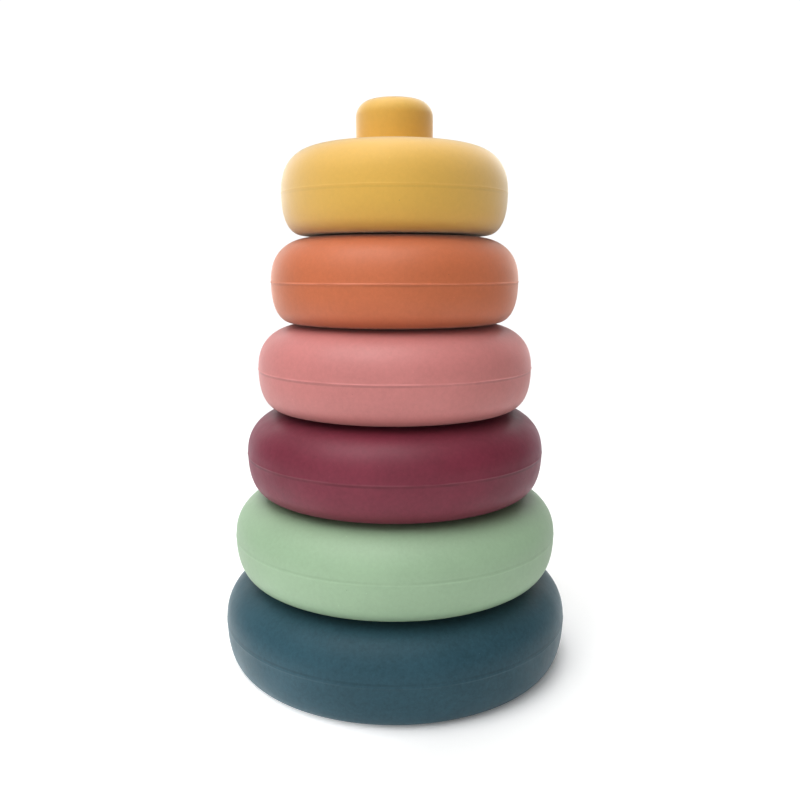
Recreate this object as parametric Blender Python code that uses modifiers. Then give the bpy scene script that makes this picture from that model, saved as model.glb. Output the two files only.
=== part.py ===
"""A stacking ring toy: six nesting rings of soft silicone, the widest at the bottom.

Each ring is one moulded piece. It has a round peg in the middle of its top and a
blind socket in the middle of its underside. A ring drops over the peg of the ring
below it, so the stack needs no post, and the top ring's peg is the knob of the toy.

Units are metres and +Z is up. The origin is the centre of the bottom ring's underside.
Run it with: blender --background --python part.py
"""

import math

import bpy

# The stack.
BASE_HEIGHT = 0.0226  # height of the bottom ring, without its peg
RING_HEIGHT = 0.02125  # height of every other ring, without its peg
REST_GAP = 0.0003  # clearance under a ring that rests on the one below

# The section of a ring. Its two halves are quarter superellipses, which meet where the
# ring is widest, at the parting line of its mould.
PARTING_SHARE = 0.477  # height of the parting line, as a share of the ring's height
SHOULDER_SHARE = 0.40  # how far the domed shoulder reaches in, as a share of the radius
BASE_CORNER = 0.0047  # how far the bottom ring's lower corner reaches in
RING_CORNER = 0.0056  # the same for every other ring
SECTION_POWER = 2.4  # 2 is an ellipse, and more is squarer

# The peg on top, and the socket that fits over the peg of the ring below.
PEG_RADIUS = 0.0095
PEG_HEIGHT = 0.0112
PEG_ROUNDING = 0.0040  # radius of the peg's top edge
SOCKET_RADIUS = 0.0100
SOCKET_DEPTH = 0.0120
MOUTH_CHAMFER = 0.0008  # lead-in at the socket's mouth

# How finely the solids are cut.
TURN_STEPS = 48
SHOULDER_STEPS = 7
CORNER_STEPS = 5
PEG_EDGE_STEPS = 4
AXIS_MERGE = 0.00001  # joins the profile's two ends on the axis

SILICONE_ROUGHNESS = 0.62

# Name, widest radius and sRGB colour of each ring, from the bottom up.
RINGS = (
    ("blue_base_ring", 0.0450, (58, 86, 98)),
    ("green_ring", 0.0418, (170, 197, 164)),
    ("burgundy_ring", 0.0382, (132, 67, 80)),
    ("pink_ring", 0.0349, (207, 139, 133)),
    ("orange_ring", 0.0312, (205, 119, 86)),
    ("yellow_top_ring", 0.0282, (215, 168, 84)),
)


def clear_scene():
    for obj in list(bpy.data.objects):
        bpy.data.objects.remove(obj, do_unlink=True)


def new_collection(name):
    collection = bpy.data.collections.new(name)
    bpy.context.scene.collection.children.link(collection)
    return collection


def linear(level):
    """One sRGB level, 0 to 255, as the linear value that a shader takes."""
    share = level / 255
    if share <= 0.04045:
        return share / 12.92
    return ((share + 0.055) / 1.055) ** 2.4


def silicone(name, colour):
    """Matte moulded silicone, coloured all through."""
    material = bpy.data.materials.new(name)
    material.use_nodes = True
    shader = material.node_tree.nodes["Principled BSDF"]
    shader.inputs["Base Color"].default_value = (*map(linear, colour), 1.0)
    shader.inputs["Roughness"].default_value = SILICONE_ROUGHNESS
    shader.inputs["Metallic"].default_value = 0.0
    return material


def quarter(steps, power):
    """(across, along) at equal angles round a quarter superellipse, from (0, 1) to (1, 0)."""
    for step in range(steps + 1):
        angle = math.pi / 2 * (1 - step / steps)
        across = max(math.cos(angle), 0.0) ** (2 / power)
        along = math.sin(angle) ** (2 / power)
        yield across, along


def peg_outline(top):
    """The peg from the axis outwards and down to its foot, on a ring whose top is at top."""
    crest = top + PEG_HEIGHT
    points = [(0.0, crest)]
    for across, along in quarter(PEG_EDGE_STEPS, 2):
        points.append((
            PEG_RADIUS - PEG_ROUNDING * (1 - across),
            crest - PEG_ROUNDING * (1 - along),
        ))
    points.append((PEG_RADIUS, top))
    return points


def body_outline(radius, height, corner):
    """The ring's outer side, from the rim of its flat top down to the rim of its flat underside."""
    shoulder = SHOULDER_SHARE * radius
    parting = PARTING_SHARE * height
    points = []
    for across, along in quarter(SHOULDER_STEPS, SECTION_POWER):
        points.append((
            radius - shoulder * (1 - across),
            parting + (height - parting) * along,
        ))
    for across, along in reversed(list(quarter(CORNER_STEPS, SECTION_POWER))[:-1]):
        points.append((
            radius - corner * (1 - across),
            parting * (1 - along),
        ))
    return points


def socket_outline():
    """The socket from its mouth in the underside, up its wall and in to the axis."""
    return [
        (SOCKET_RADIUS + MOUTH_CHAMFER, 0.0),
        (SOCKET_RADIUS, MOUTH_CHAMFER),
        (SOCKET_RADIUS, SOCKET_DEPTH),
        (0.0, SOCKET_DEPTH),
    ]


def turned(name, outline, collection):
    """An object turned about Z from an outline of (radius, height) points."""
    mesh = bpy.data.meshes.new(name)
    points = [(radius, 0.0, height) for radius, height in outline]
    edges = [(i, i + 1) for i in range(len(points) - 1)]
    mesh.from_pydata(points, edges, [])
    obj = bpy.data.objects.new(name, mesh)
    collection.objects.link(obj)
    screw = obj.modifiers.new("turn", "SCREW")
    screw.axis = "Z"
    screw.angle = 2 * math.pi
    screw.steps = TURN_STEPS
    screw.render_steps = TURN_STEPS
    screw.use_smooth_shade = True
    screw.use_merge_vertices = True
    screw.merge_threshold = AXIS_MERGE
    return obj


def ring(name, radius, height, corner, colour, collection):
    """One whole ring, with its origin on the stack's axis, in the plane of its underside."""
    outline = peg_outline(height) + body_outline(radius, height, corner) + socket_outline()
    obj = turned(name, outline, collection)
    obj.data.materials.append(silicone(name + "_silicone", colour))
    return obj


def stack(collection):
    """Every ring, each carried by the ring below it."""
    below = None
    height_below = 0.0
    for name, radius, colour in RINGS:
        height = RING_HEIGHT if below else BASE_HEIGHT
        corner = RING_CORNER if below else BASE_CORNER
        obj = ring(name, radius, height, corner, colour, collection)
        if below:
            obj.parent = below
            obj.location.z = height_below + REST_GAP
        below = obj
        height_below = height


def main():
    clear_scene()
    stack(new_collection("stacking_ring_toy"))


main()
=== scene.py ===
"""The looks of the stacking ring toy: six rings of matte moulded silicone on a white table.

Each ring of the frame gets a finely turned body in its place, with a rounded peg, a
socket, and the parting line that its two-part mould leaves where it is widest.
Everything is in metres, in the frame's own axes.
"""

import math
from typing import NamedTuple

import bpy
from mathutils import Matrix, Vector, noise


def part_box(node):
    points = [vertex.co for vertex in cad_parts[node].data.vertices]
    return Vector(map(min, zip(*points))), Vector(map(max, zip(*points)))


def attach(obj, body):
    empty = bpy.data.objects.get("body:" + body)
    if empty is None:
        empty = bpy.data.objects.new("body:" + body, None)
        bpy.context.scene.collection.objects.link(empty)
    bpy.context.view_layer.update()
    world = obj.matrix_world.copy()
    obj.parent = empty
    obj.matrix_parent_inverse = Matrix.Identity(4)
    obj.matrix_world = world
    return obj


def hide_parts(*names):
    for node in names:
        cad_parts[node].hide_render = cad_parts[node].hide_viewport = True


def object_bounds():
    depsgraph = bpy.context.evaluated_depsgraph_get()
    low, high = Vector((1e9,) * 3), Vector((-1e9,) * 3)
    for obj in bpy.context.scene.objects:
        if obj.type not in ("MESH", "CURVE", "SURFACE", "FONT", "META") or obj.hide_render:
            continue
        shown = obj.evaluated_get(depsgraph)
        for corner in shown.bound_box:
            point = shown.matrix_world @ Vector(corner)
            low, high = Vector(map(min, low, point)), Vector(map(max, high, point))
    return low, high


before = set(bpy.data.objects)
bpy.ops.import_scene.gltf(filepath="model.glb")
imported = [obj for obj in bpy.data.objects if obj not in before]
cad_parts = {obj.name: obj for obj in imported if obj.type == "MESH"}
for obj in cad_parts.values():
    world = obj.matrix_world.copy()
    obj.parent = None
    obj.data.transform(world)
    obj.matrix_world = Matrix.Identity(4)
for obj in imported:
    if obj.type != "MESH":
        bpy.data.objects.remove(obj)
cad_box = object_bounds()


# ---------------------------------------------------------------- the rings' own values

class Ring(NamedTuple):
    """A ring of the frame, with what its mould left on it, the painted highlight and shadow beside
    its flash, and how its silicone looks.
    """

    node: str
    body: str  # the frame's body that it is
    flash: float  # how much of the mould's flash it has, and how strong the painted highlight on it is, from 0 to 1
    shadow_line: float  # how far above the flash the painted shadow line beside it runs, or below if negative
    shadow_line_darkness: float  # how dark the painted shadow line is, from 0 to 1
    draft: float  # the slope with which each half of its side leaves the parting line
    colour: tuple  # linear
    mottle: float  # how much the tone varies, as a share of the colour
    specular: float
    sheen: float
    sheen_tint: tuple
    sheen_roughness: float = 0.40


# From the bottom up.
RINGS = (
    Ring(
        "blue_base_ring", "base", flash=0.32, shadow_line=0.0008, shadow_line_darkness=0.30, draft=0.030,
        colour=(0.0271, 0.0758, 0.1026), mottle=0.21, specular=0.22,
        sheen=0.22, sheen_tint=(0.8, 0.95, 1.0),
    ),
    Ring(
        "green_ring", "green", flash=0.45, shadow_line=0.0006, shadow_line_darkness=0.12, draft=0.014,
        colour=(0.3386, 0.4944, 0.3201), mottle=0.056, specular=0.46,
        sheen=0.03, sheen_tint=(1.0, 1.0, 1.0),
    ),
    Ring(
        "burgundy_ring", "burgundy", flash=0.45, shadow_line=-0.0005, shadow_line_darkness=0.50, draft=0.026,
        colour=(0.1918, 0.0276, 0.0495), mottle=0.145, specular=0.43,
        sheen=0.10, sheen_tint=(1.0, 0.55, 0.8),
    ),
    Ring(
        "pink_ring", "pink", flash=0.85, shadow_line=-0.0004, shadow_line_darkness=0.30, draft=0.010,
        colour=(0.62, 0.22, 0.208), mottle=0.070, specular=0.62,
        sheen=0.42, sheen_tint=(1.0, 0.6, 0.6),
    ),
    Ring(
        "orange_ring", "orange", flash=1.0, shadow_line=-0.0004, shadow_line_darkness=0.24, draft=0.006,
        colour=(0.6213, 0.1646, 0.0644), mottle=0.070, specular=0.54,
        sheen=0.85, sheen_tint=(1.0, 0.68, 0.58),
    ),
    Ring(
        "yellow_top_ring", "top", flash=0.25, shadow_line=-0.0006, shadow_line_darkness=0.09, draft=0.006,
        colour=(0.8150, 0.4770, 0.0830), mottle=0.036, specular=0.26,
        sheen=1.00, sheen_tint=(1.0, 0.92, 0.78), sheen_roughness=0.50,
    ),
)
BASE_RING = RINGS[0]

# The section of a ring, as the frame's solids have it.
PARTING_SHARE = 0.477  # height of the parting line, as a share of the ring's height
SHOULDER_SHARE = 0.40  # how far the domed shoulder reaches in, as a share of the radius
BASE_CORNER = 0.0047  # how far the bottom ring's lower corner reaches in
RING_CORNER = 0.0056  # the same for every other ring
SECTION_POWER = 2.4  # 2 is an ellipse, and more is squarer
PEG_RADIUS = 0.0095
PEG_HEIGHT = 0.0112
PEG_ROUNDING = 0.0040
SOCKET_RADIUS = 0.0100
SOCKET_DEPTH = 0.0120

# What only the fine bodies have.
FOOT_FILLET = 0.0006  # where the peg meets the ring
FILLET_MARGIN = 3.0  # where the rows beside the fillet are, in its radii from its corner
MOUTH_ROUNDING = 0.0009
ROOF_FILLET = 0.0012  # at the socket's inner end
FLASH_HEIGHT = 0.0002  # the raised thread of silicone on the parting line
FLASH_WIDTH = 0.00024  # half of its width
FLASH_UNEVENNESS = (0.7, 0.45, 0.35)  # its mean height, and its coarse and fine changes
FLASH_LOW = 0.05  # its lowest share of the height
FLASH_PATCHES = 90.0  # scale of the coarse changes along it
FLASH_FINENESS = 3.7  # how much finer the fine ones are
FLASH_SEED_STEP = 7.3  # sets each ring's changes apart from the others'
FLASH_CLEARANCE = 1.5  # in flash widths, and the section's own rows stay out of it
TURN_STEPS = 288
SHOULDER_STEPS = 30
CORNER_STEPS = 20
EDGE_STEPS = 12
FILLET_STEPS = 5
FLASH_STEPS = 8


# ---------------------------------------------------------------- camera

CAMERA_DISTANCE = 0.20376  # in front of the stack's axis
CAMERA_HEIGHT = 0.10151
CAMERA_PITCH = math.radians(9.606)  # looking down
CAMERA_TURN = math.radians(0.367)  # to the right of the axis
CAMERA_ROLL = math.radians(-0.10)
CAMERA_LENS = 35.533  # mm
CAMERA_SENSOR = 36.0  # mm wide
CAMERA_NEAR = 0.01


def add_camera():
    data = bpy.data.cameras.new("camera")
    data.sensor_width = CAMERA_SENSOR
    data.lens = CAMERA_LENS
    data.clip_start = CAMERA_NEAR
    camera = bpy.data.objects.new("camera", data)
    bpy.context.scene.collection.objects.link(camera)
    pitch = Matrix.Rotation(math.pi / 2 - CAMERA_PITCH, 4, "X")
    turn = Matrix.Rotation(-CAMERA_TURN, 4, "Y")
    roll = Matrix.Rotation(CAMERA_ROLL, 4, "Z")
    place = Matrix.Translation((0.0, -CAMERA_DISTANCE, CAMERA_HEIGHT))
    camera.matrix_world = place @ pitch @ turn @ roll
    bpy.context.scene.camera = camera


# ---------------------------------------------------------------- nodes

def spread(tree, value, from_range, to_range):
    """The value, with one range turned smoothly into another, and held beyond its ends."""
    node = tree.nodes.new("ShaderNodeMapRange")
    node.interpolation_type = "SMOOTHSTEP"
    node.inputs["From Min"].default_value = from_range[0]
    node.inputs["From Max"].default_value = from_range[1]
    node.inputs["To Min"].default_value = to_range[0]
    node.inputs["To Max"].default_value = to_range[1]
    tree.links.new(value, node.inputs["Value"])
    return node.outputs["Result"]


def distance_from(tree, place, point):
    """How far each place is from a point."""
    node = tree.nodes.new("ShaderNodeVectorMath")
    node.operation = "DISTANCE"
    node.inputs[1].default_value = point
    tree.links.new(place, node.inputs[0])
    return node.outputs["Value"]


# ---------------------------------------------------------------- studio

WHITE = (1.0, 1.0, 1.0, 1.0)
FLOOR_SIZE = 1.0
FLOOR_SIDES = 96
FLOOR_DROP = 0.00002  # keeps the table off the base ring's underside
FLOOR_COLOUR = 0.93
FLOOR_ROUGHNESS = 0.7
FLOOR_SPECULAR = 0.2
FLOOR_GLOW = 0.10  # light that comes up through the table
GLOW_SPOT = 0.60  # and how much more comes up in a spot in front of the toy, on its left
SPOT_PLACE = (-0.045, -0.035, 0.0)
SPOT_RADIUS = 0.06
FLOOR_FADE = (0.20, 0.45)  # how far out the table begins and ends to turn into the backdrop

# Softboxes aimed at the middle of the stack: azimuth (0 is in front of it and -90 on its
# left), elevation, width and height in metres, and radiance. Each stands a metre away.
LIGHT_TARGET = Vector((0.0, 0.0, 0.07))
SOFTBOXES = (
    ("overhead", 0, 90, 0.6, 0.6, 1.72),
    ("overhead_back", 180, 80, 0.5, 0.5, 1.05),
    ("key", -25, 62, 0.5, 0.5, 2.23),
    ("key_low", -25, 40, 0.4, 0.4, 0.94),
    ("left_front", -55, 45, 0.5, 0.5, 2.39),
    ("left_front_high", -55, 70, 0.5, 0.5, 2.15),
    ("left_high", -90, 60, 0.5, 0.5, 1.27),
    ("left_low", -40, 15, 0.5, 0.5, 0.76),
    ("front", 0, 50, 0.5, 0.5, 1.49),
    ("front_high", 0, 72, 0.4, 0.4, 1.09),
    ("front_low", 0, 15, 0.5, 0.5, 0.60),
    ("right_front", 35, 55, 0.5, 0.5, 0.12),
    ("rim_left", -155, 30, 0.5, 0.5, 0.76),
    ("rim_right", 155, 30, 0.5, 0.5, 0.55),
    ("rim_right_high", 120, 50, 0.5, 0.5, 0.32),
    ("rim_top", 180, 60, 0.6, 0.6, 1.99),
    ("backdrop", 180, 8, 2.5, 1.0, 0.99),
)
AMBIENT = 0.10
BACKDROP = 1.05


def white_table():
    """White and a little lit from below, and clear far out, where only the backdrop shows."""
    material = bpy.data.materials.new("white_table")
    material.use_nodes = True
    tree = material.node_tree
    shader = tree.nodes["Principled BSDF"]
    shader.inputs["Base Color"].default_value = (FLOOR_COLOUR, FLOOR_COLOUR, FLOOR_COLOUR, 1.0)
    shader.inputs["Roughness"].default_value = FLOOR_ROUGHNESS
    shader.inputs["Specular IOR Level"].default_value = FLOOR_SPECULAR
    shader.inputs["Emission Color"].default_value = WHITE
    place = tree.nodes.new("ShaderNodeTexCoord").outputs["Object"]
    glow = spread(
        tree, distance_from(tree, place, SPOT_PLACE),
        (0.0, SPOT_RADIUS), (FLOOR_GLOW + GLOW_SPOT, FLOOR_GLOW),
    )
    tree.links.new(glow, shader.inputs["Emission Strength"])
    fade = spread(tree, distance_from(tree, place, (0.0, 0.0, 0.0)), FLOOR_FADE, (1.0, 0.0))
    tree.links.new(fade, shader.inputs["Alpha"])
    return material


def add_floor():
    bpy.ops.mesh.primitive_circle_add(
        vertices=FLOOR_SIDES, radius=FLOOR_SIZE / 2, fill_type="NGON",
        location=(0, 0, cad_box[0].z - FLOOR_DROP),
    )
    floor = bpy.context.object
    floor.name = "table"
    floor.data.materials.append(white_table())


def add_softbox(name, azimuth, elevation, width, height, radiance):
    data = bpy.data.lights.new(name, "AREA")
    data.shape = "RECTANGLE"
    data.size, data.size_y = width, height
    data.energy = math.pi * width * height * radiance
    lamp = bpy.data.objects.new(name, data)
    bpy.context.scene.collection.objects.link(lamp)
    turn, rise = math.radians(azimuth), math.radians(elevation)
    away = Vector((
        math.sin(turn) * math.cos(rise), -math.cos(turn) * math.cos(rise), math.sin(rise)
    ))
    lamp.location = LIGHT_TARGET + away
    lamp.rotation_euler = (-away).to_track_quat("-Z", "Y").to_euler()
    lamp.visible_camera = False


def white_background(tree, strength):
    node = tree.nodes.new("ShaderNodeBackground")
    node.inputs["Color"].default_value = WHITE
    node.inputs["Strength"].default_value = strength
    return node.outputs["Background"]


def add_world():
    """White to the camera, and dimmer as a light."""
    world = bpy.data.worlds.new("white_studio")
    bpy.context.scene.world = world
    world.use_nodes = True
    tree = world.node_tree
    tree.nodes.clear()
    out = tree.nodes.new("ShaderNodeOutputWorld")
    mix = tree.nodes.new("ShaderNodeMixShader")
    rays = tree.nodes.new("ShaderNodeLightPath")
    tree.links.new(rays.outputs["Is Camera Ray"], mix.inputs["Fac"])
    tree.links.new(white_background(tree, AMBIENT), mix.inputs[1])
    tree.links.new(white_background(tree, BACKDROP), mix.inputs[2])
    tree.links.new(mix.outputs["Shader"], out.inputs["Surface"])


def add_studio():
    add_floor()
    add_world()
    for softbox in SOFTBOXES:
        add_softbox(*softbox)
    view = bpy.context.scene.view_settings
    view.view_transform = "Standard"
    view.look = "None"


# ---------------------------------------------------------------- silicone

IOR = 1.41
SEED_SHIFT = (0.37, 0.19, 0.53)  # sets each ring's patterns apart from the others'

# A noise is its scale, detail and roughness, and a range is where it begins and ends to act.
COARSE_TONE = (45.0, 2.0, 0.5)
FINE_TONE = (900.0, 3.0, 0.75)
TONE_RANGE = (0.35, 0.65)
HIGHLIGHT_GAIN, HIGHLIGHT_LIFT = 1.12, 0.033  # the colour of the painted highlight on the flash, from the ring's colour
FLASH_FADE = (FLASH_WIDTH * 0.45, FLASH_WIDTH)  # how far from its middle it begins to fade
FLASH_BREAKS = (110.0, 3.0, 0.6)
FLASH_BROKEN = 0.25  # how much of the painted highlight on the flash is left where it is broken
# The painted shadow line beside the flash.
SHADOW_LINE_FADE = (FLASH_WIDTH * 0.6, FLASH_WIDTH * 1.4)
SHADOW_LINE_BREAKS = (75.0, 3.0, 0.6)
SHADOW_LINE_BROKEN = 0.3
SHADOW_LINE_SHADE = 0.4  # the painted shadow line's colour at its darkest, as a share of the ring's
BREAK_RANGE = (0.36, 0.60)
# Painted shade at the foot of each ring above the bottom one.
FOOT_BAND = (0.0005, 0.0034)  # the heights at which the painted shade is at its darkest, and ends
FOOT_SHADE_COVER = 0.5
FOOT_SHADE = 0.5
DUST_SCALE, DUST_RADIUS, DUST_COVER = 250.0, 0.00014, 0.55
DUST_GAIN, DUST_LIFT, DUST_LIMIT = 1.4, 0.03, 0.9
PIT_SCALE, PIT_RADIUS, PIT_COVER = 230.0, 0.00012, 0.6
PIT_SHADE = 0.35
PIT_DEPTH, PIT_STRENGTH = 0.00005, 0.5
GLOSS_PATCHES = (160.0, 4.0, 0.5)
GLOSS_RANGE = (0.3, 0.7)
ROUGHNESS_RANGE = (0.45, 0.55)
GRAIN = (1700.0, 3.0, 0.5)
GRAIN_DEPTH, GRAIN_STRENGTH = 0.00003, 0.6


def scaled(colour, gain):
    return [channel * gain for channel in colour]


class Skin:
    """A silicone material in the making: its colour is laid on in layers, from the first up."""

    def __init__(self, name, seed):
        self.material = bpy.data.materials.new(name)
        self.material.use_nodes = True
        self.tree = self.material.node_tree
        self.shader = self.tree.nodes["Principled BSDF"]
        self.place = self.tree.nodes.new("ShaderNodeTexCoord").outputs["Object"]
        shift = self.tree.nodes.new("ShaderNodeMapping")
        shift.inputs["Location"].default_value = [seed * step for step in SEED_SHIFT]
        self.tree.links.new(self.place, shift.inputs["Vector"])
        self.shifted = shift.outputs["Vector"]
        self.colour = None

    def noise(self, scale, detail, roughness):
        node = self.tree.nodes.new("ShaderNodeTexNoise")
        node.inputs["Scale"].default_value = scale
        node.inputs["Detail"].default_value = detail
        node.inputs["Roughness"].default_value = roughness
        self.tree.links.new(self.shifted, node.inputs["Vector"])
        return node.outputs["Fac"]

    def spots(self, scale, radius):
        """1 inside spots of a radius in metres, about 1 / scale apart, and 0 around them."""
        node = self.tree.nodes.new("ShaderNodeTexVoronoi")
        node.inputs["Scale"].default_value = scale
        self.tree.links.new(self.shifted, node.inputs["Vector"])
        edge = radius * scale
        return spread(self.tree, node.outputs["Distance"], (edge * 0.5, edge), (1.0, 0.0))

    def height(self):
        """The height above the ring's underside."""
        node = self.tree.nodes.new("ShaderNodeSeparateXYZ")
        self.tree.links.new(self.place, node.inputs["Vector"])
        return node.outputs["Z"]

    def calculate(self, operation, first, second=None):
        node = self.tree.nodes.new("ShaderNodeMath")
        node.operation = operation
        self.tree.links.new(first, node.inputs[0])
        if isinstance(second, float):
            node.inputs[1].default_value = second
        elif second is not None:
            self.tree.links.new(second, node.inputs[1])
        return node.outputs["Value"]

    def line(self, height, fade, strength):
        """The strength along a line round the ring at a height, and 0 away from it."""
        away = self.calculate("ABSOLUTE", self.calculate("SUBTRACT", self.height(), height))
        return spread(self.tree, away, fade, (strength, 0.0))

    def breaks(self, pattern, least):
        """1 on most of a line and the least share of it in patches, where it is broken."""
        return spread(self.tree, self.noise(*pattern), BREAK_RANGE, (least, 1.0))

    def lay_tone(self, colour, mottle):
        """The first layer: the ring's colour, mottled coarsely and finely."""
        ramp = self.tree.nodes.new("ShaderNodeValToRGB")
        gains = (1 - mottle, 1 + mottle)
        for element, position, gain in zip(ramp.color_ramp.elements, TONE_RANGE, gains):
            element.position = position
            element.color = (*scaled(colour, gain), 1.0)
        tone = self.calculate("ADD", self.noise(*COARSE_TONE), self.noise(*FINE_TONE))
        self.tree.links.new(self.calculate("MULTIPLY", tone, 0.5), ramp.inputs["Fac"])
        self.colour = ramp.outputs["Color"]

    def lay(self, colour, mask, share):
        """A layer of a colour, where a mask times a share says how much it covers."""
        node = self.tree.nodes.new("ShaderNodeMix")
        node.data_type = "RGBA"
        self.tree.links.new(self.calculate("MULTIPLY", mask, share), node.inputs["Factor"])
        self.tree.links.new(self.colour, node.inputs["A"])
        node.inputs["B"].default_value = (*colour, 1.0)
        self.colour = node.outputs["Result"]

    def bump(self, height, depth, strength, under=None, dented=False):
        node = self.tree.nodes.new("ShaderNodeBump")
        node.invert = dented
        node.inputs["Strength"].default_value = strength
        node.inputs["Distance"].default_value = depth
        self.tree.links.new(height, node.inputs["Height"])
        if under:
            self.tree.links.new(under, node.inputs["Normal"])
        return node.outputs["Normal"]

    def finish(self, roughness, normal):
        self.tree.links.new(self.colour, self.shader.inputs["Base Color"])
        self.tree.links.new(roughness, self.shader.inputs["Roughness"])
        self.tree.links.new(normal, self.shader.inputs["Normal"])
        return self.material


def silicone(name, ring, parting, seed):
    """A ring's silicone, with what its mould and time have left on it, a painted highlight and a
    painted shadow line along its parting line, and painted shade at its foot.
    """
    skin = Skin(name, seed)
    skin.shader.inputs["IOR"].default_value = IOR
    skin.shader.inputs["Specular IOR Level"].default_value = ring.specular
    skin.shader.inputs["Sheen Weight"].default_value = ring.sheen
    skin.shader.inputs["Sheen Tint"].default_value = (*ring.sheen_tint, 1.0)
    skin.shader.inputs["Sheen Roughness"].default_value = ring.sheen_roughness
    skin.lay_tone(ring.colour, ring.mottle)

    # A painted highlight on the flash: a paler line along the parting line, where its raised
    # thread catches the light.
    flash_highlight = [channel * HIGHLIGHT_GAIN + HIGHLIGHT_LIFT for channel in ring.colour]
    highlight_line = skin.line(parting, FLASH_FADE, ring.flash)
    skin.lay(flash_highlight, highlight_line, skin.breaks(FLASH_BREAKS, FLASH_BROKEN))

    # A painted shadow beside it: a darker line where the flash and the mould's ill-matched halves
    # would cast shade.
    shadow_line = skin.line(parting + ring.shadow_line, SHADOW_LINE_FADE, ring.shadow_line_darkness)
    skin.lay(
        scaled(ring.colour, SHADOW_LINE_SHADE), shadow_line, skin.breaks(SHADOW_LINE_BREAKS, SHADOW_LINE_BROKEN)
    )

    # Painted shade at the foot of a ring, where it meets the one below and the crevice between
    # them is in shade.
    if ring is not BASE_RING:
        foot_shade = spread(skin.tree, skin.height(), FOOT_BAND, (1.0, 0.0))
        skin.lay(scaled(ring.colour, FOOT_SHADE), foot_shade, FOOT_SHADE_COVER)

    # Dust on the surface, and pits in it.
    dust = [min(channel * DUST_GAIN + DUST_LIFT, DUST_LIMIT) for channel in ring.colour]
    skin.lay(dust, skin.spots(DUST_SCALE, DUST_RADIUS), DUST_COVER)
    pits = skin.spots(PIT_SCALE, PIT_RADIUS)
    skin.lay(scaled(ring.colour, PIT_SHADE), pits, PIT_COVER)

    roughness = spread(skin.tree, skin.noise(*GLOSS_PATCHES), GLOSS_RANGE, ROUGHNESS_RANGE)
    grain = skin.bump(skin.noise(*GRAIN), GRAIN_DEPTH, GRAIN_STRENGTH)
    return skin.finish(
        roughness, skin.bump(pits, PIT_DEPTH, PIT_STRENGTH, under=grain, dented=True)
    )


# ---------------------------------------------------------------- rings

def quarter(steps, power):
    """(across, along) round a quarter superellipse, from (0, 1) to (1, 0)."""
    for step in range(steps + 1):
        angle = math.pi / 2 * (1 - step / steps)
        yield max(math.cos(angle), 0.0) ** (2 / power), math.sin(angle) ** (2 / power)


def arc(centre, radius, start, end, steps):
    """Points of (radius, height) on a circle's arc, with both ends, by angles in degrees."""
    for step in range(steps + 1):
        angle = math.radians(start + (end - start) * step / steps)
        yield centre[0] + radius * math.cos(angle), centre[1] + radius * math.sin(angle)


def peg_outline(top):
    """The peg from the axis outwards and down to its foot, on a ring whose top is at top."""
    crest = top + PEG_HEIGHT
    flat = PEG_RADIUS - PEG_ROUNDING
    points = [(0.0, crest), (flat / 2, crest)]
    points += arc((flat, crest - PEG_ROUNDING), PEG_ROUNDING, 90, 0, EDGE_STEPS)
    points.append((PEG_RADIUS, top + FOOT_FILLET * FILLET_MARGIN))
    foot_shade = (PEG_RADIUS + FOOT_FILLET, top + FOOT_FILLET)
    points += arc(foot_shade, FOOT_FILLET, 180, 270, FILLET_STEPS)
    points.append((PEG_RADIUS + FOOT_FILLET * FILLET_MARGIN, top))
    return points


def body_outline(radius, height, corner, draft):
    """The side, with a few rows for the flash in place of those nearest the parting line."""
    shoulder = SHOULDER_SHARE * radius
    parting = PARTING_SHARE * height
    rise = height - parting

    def lean(depth, along):
        """How far the draft moves the side in, at a share of the depth from the parting line."""
        return depth * draft * along * (1 - along)

    upper = [
        (radius - shoulder * (1 - across) - lean(rise, along), parting + rise * along)
        for across, along in quarter(SHOULDER_STEPS, SECTION_POWER)
    ]
    lower = [
        (radius - corner * (1 - across) - lean(parting, along), parting * (1 - along))
        for across, along in reversed(list(quarter(CORNER_STEPS, SECTION_POWER)))
    ]
    flash = [
        (radius, parting + FLASH_WIDTH * (1 - 2 * step / FLASH_STEPS))
        for step in range(FLASH_STEPS + 1)
    ]
    clear = FLASH_WIDTH * FLASH_CLEARANCE
    return (
        [point for point in upper if point[1] > parting + clear]
        + flash
        + [point for point in lower if point[1] < parting - clear]
    )


def socket_outline():
    """The socket from its mouth in the underside, up its wall and in to the axis."""
    mouth = (SOCKET_RADIUS + MOUTH_ROUNDING, MOUTH_ROUNDING)
    roof = (SOCKET_RADIUS - ROOF_FILLET, SOCKET_DEPTH - ROOF_FILLET)
    points = [(SOCKET_RADIUS + MOUTH_ROUNDING * 2, 0.0)]
    points += arc(mouth, MOUTH_ROUNDING, 270, 180, FILLET_STEPS)
    points += arc(roof, ROOF_FILLET, 0, 90, FILLET_STEPS)
    points.append((0.0, SOCKET_DEPTH))
    return points


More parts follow.
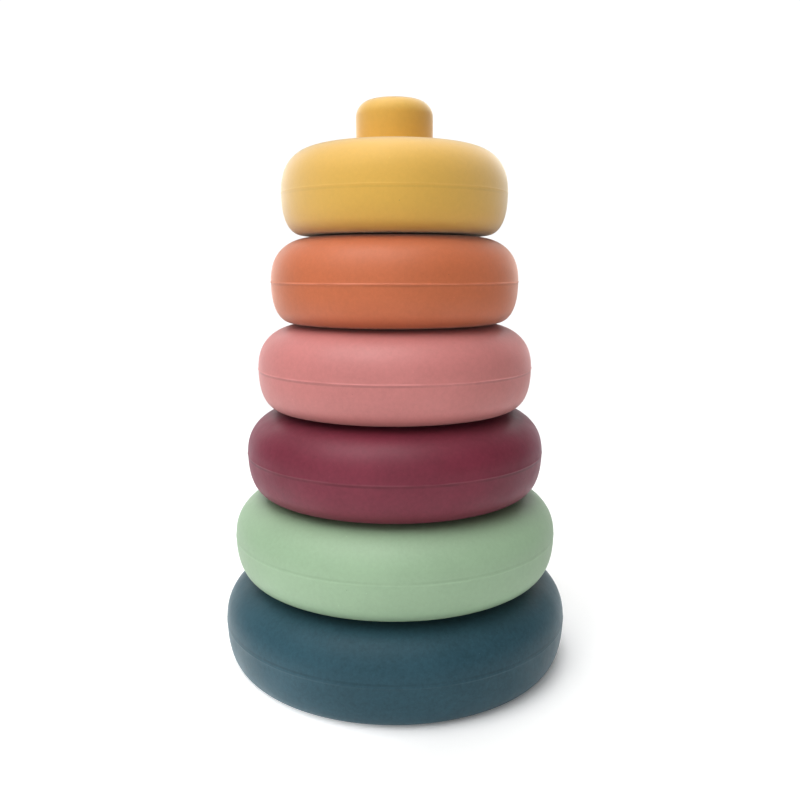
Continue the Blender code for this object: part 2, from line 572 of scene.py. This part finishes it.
def flash_height(radius, away, turn, seed):
    """How far the flash stands out, at a height away from the parting line."""
    share = max(0.0, 1 - abs(away) / FLASH_WIDTH)
    share = share * share * (3 - 2 * share)
    spot = Vector((math.cos(turn), math.sin(turn), 0.0)) * radius * FLASH_PATCHES
    spot.z = seed * FLASH_SEED_STEP
    mean, coarse, fine = FLASH_UNEVENNESS
    uneven = mean + coarse * noise.noise(spot) + fine * noise.noise(spot * FLASH_FINENESS)
    return FLASH_HEIGHT * share * min(max(uneven, FLASH_LOW), 1.0)


def turned_body(name, outline, parting, flash, seed):
    """A closed mesh turned about Z, with an uneven flash on its parting line."""
    verts, faces, rows = [], [], []
    turns = [2 * math.pi * step / TURN_STEPS for step in range(TURN_STEPS)]
    for radius, height in outline:
        start = len(verts)
        if radius == 0.0:
            verts.append((0.0, 0.0, height))
            rows.append([start] * TURN_STEPS)
            continue
        on_side = abs(height - parting) <= FLASH_WIDTH
        for turn in turns:
            reach = radius
            if on_side:
                reach += flash * flash_height(radius, height - parting, turn, seed)
            verts.append((reach * math.cos(turn), reach * math.sin(turn), height))
        rows.append(range(start, len(verts)))
    for above, below in zip(rows, rows[1:]):
        for step in range(TURN_STEPS):
            after = (step + 1) % TURN_STEPS
            corners = (above[step], below[step], below[after], above[after])
            faces.append(tuple(dict.fromkeys(corners)))
    mesh = bpy.data.meshes.new(name)
    mesh.from_pydata(verts, [], faces)
    mesh.shade_smooth()
    return mesh


def add_ring(level, ring):
    """A ring's fine body, with the place, width and height of the frame's solid."""
    low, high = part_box(ring.node)
    radius = high.x
    corner = RING_CORNER
    if ring is BASE_RING:
        radius -= ring.flash * FLASH_HEIGHT  # so that its flash stays in the frame's box
        corner = BASE_CORNER
    height = high.z - PEG_HEIGHT - low.z
    outline = (
        peg_outline(height) + body_outline(radius, height, corner, ring.draft) + socket_outline()
    )
    parting = PARTING_SHARE * height
    name = ring.node + "_silicone"
    mesh = turned_body(name, outline, parting, ring.flash, level)
    mesh.materials.append(silicone(name, ring, parting, level + 1))
    piece = bpy.data.objects.new(name, mesh)
    bpy.context.scene.collection.objects.link(piece)
    piece.location.z = low.z
    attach(piece, ring.body)
    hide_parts(ring.node)


add_camera()
add_studio()
for level, ring in enumerate(RINGS):
    add_ring(level, ring)
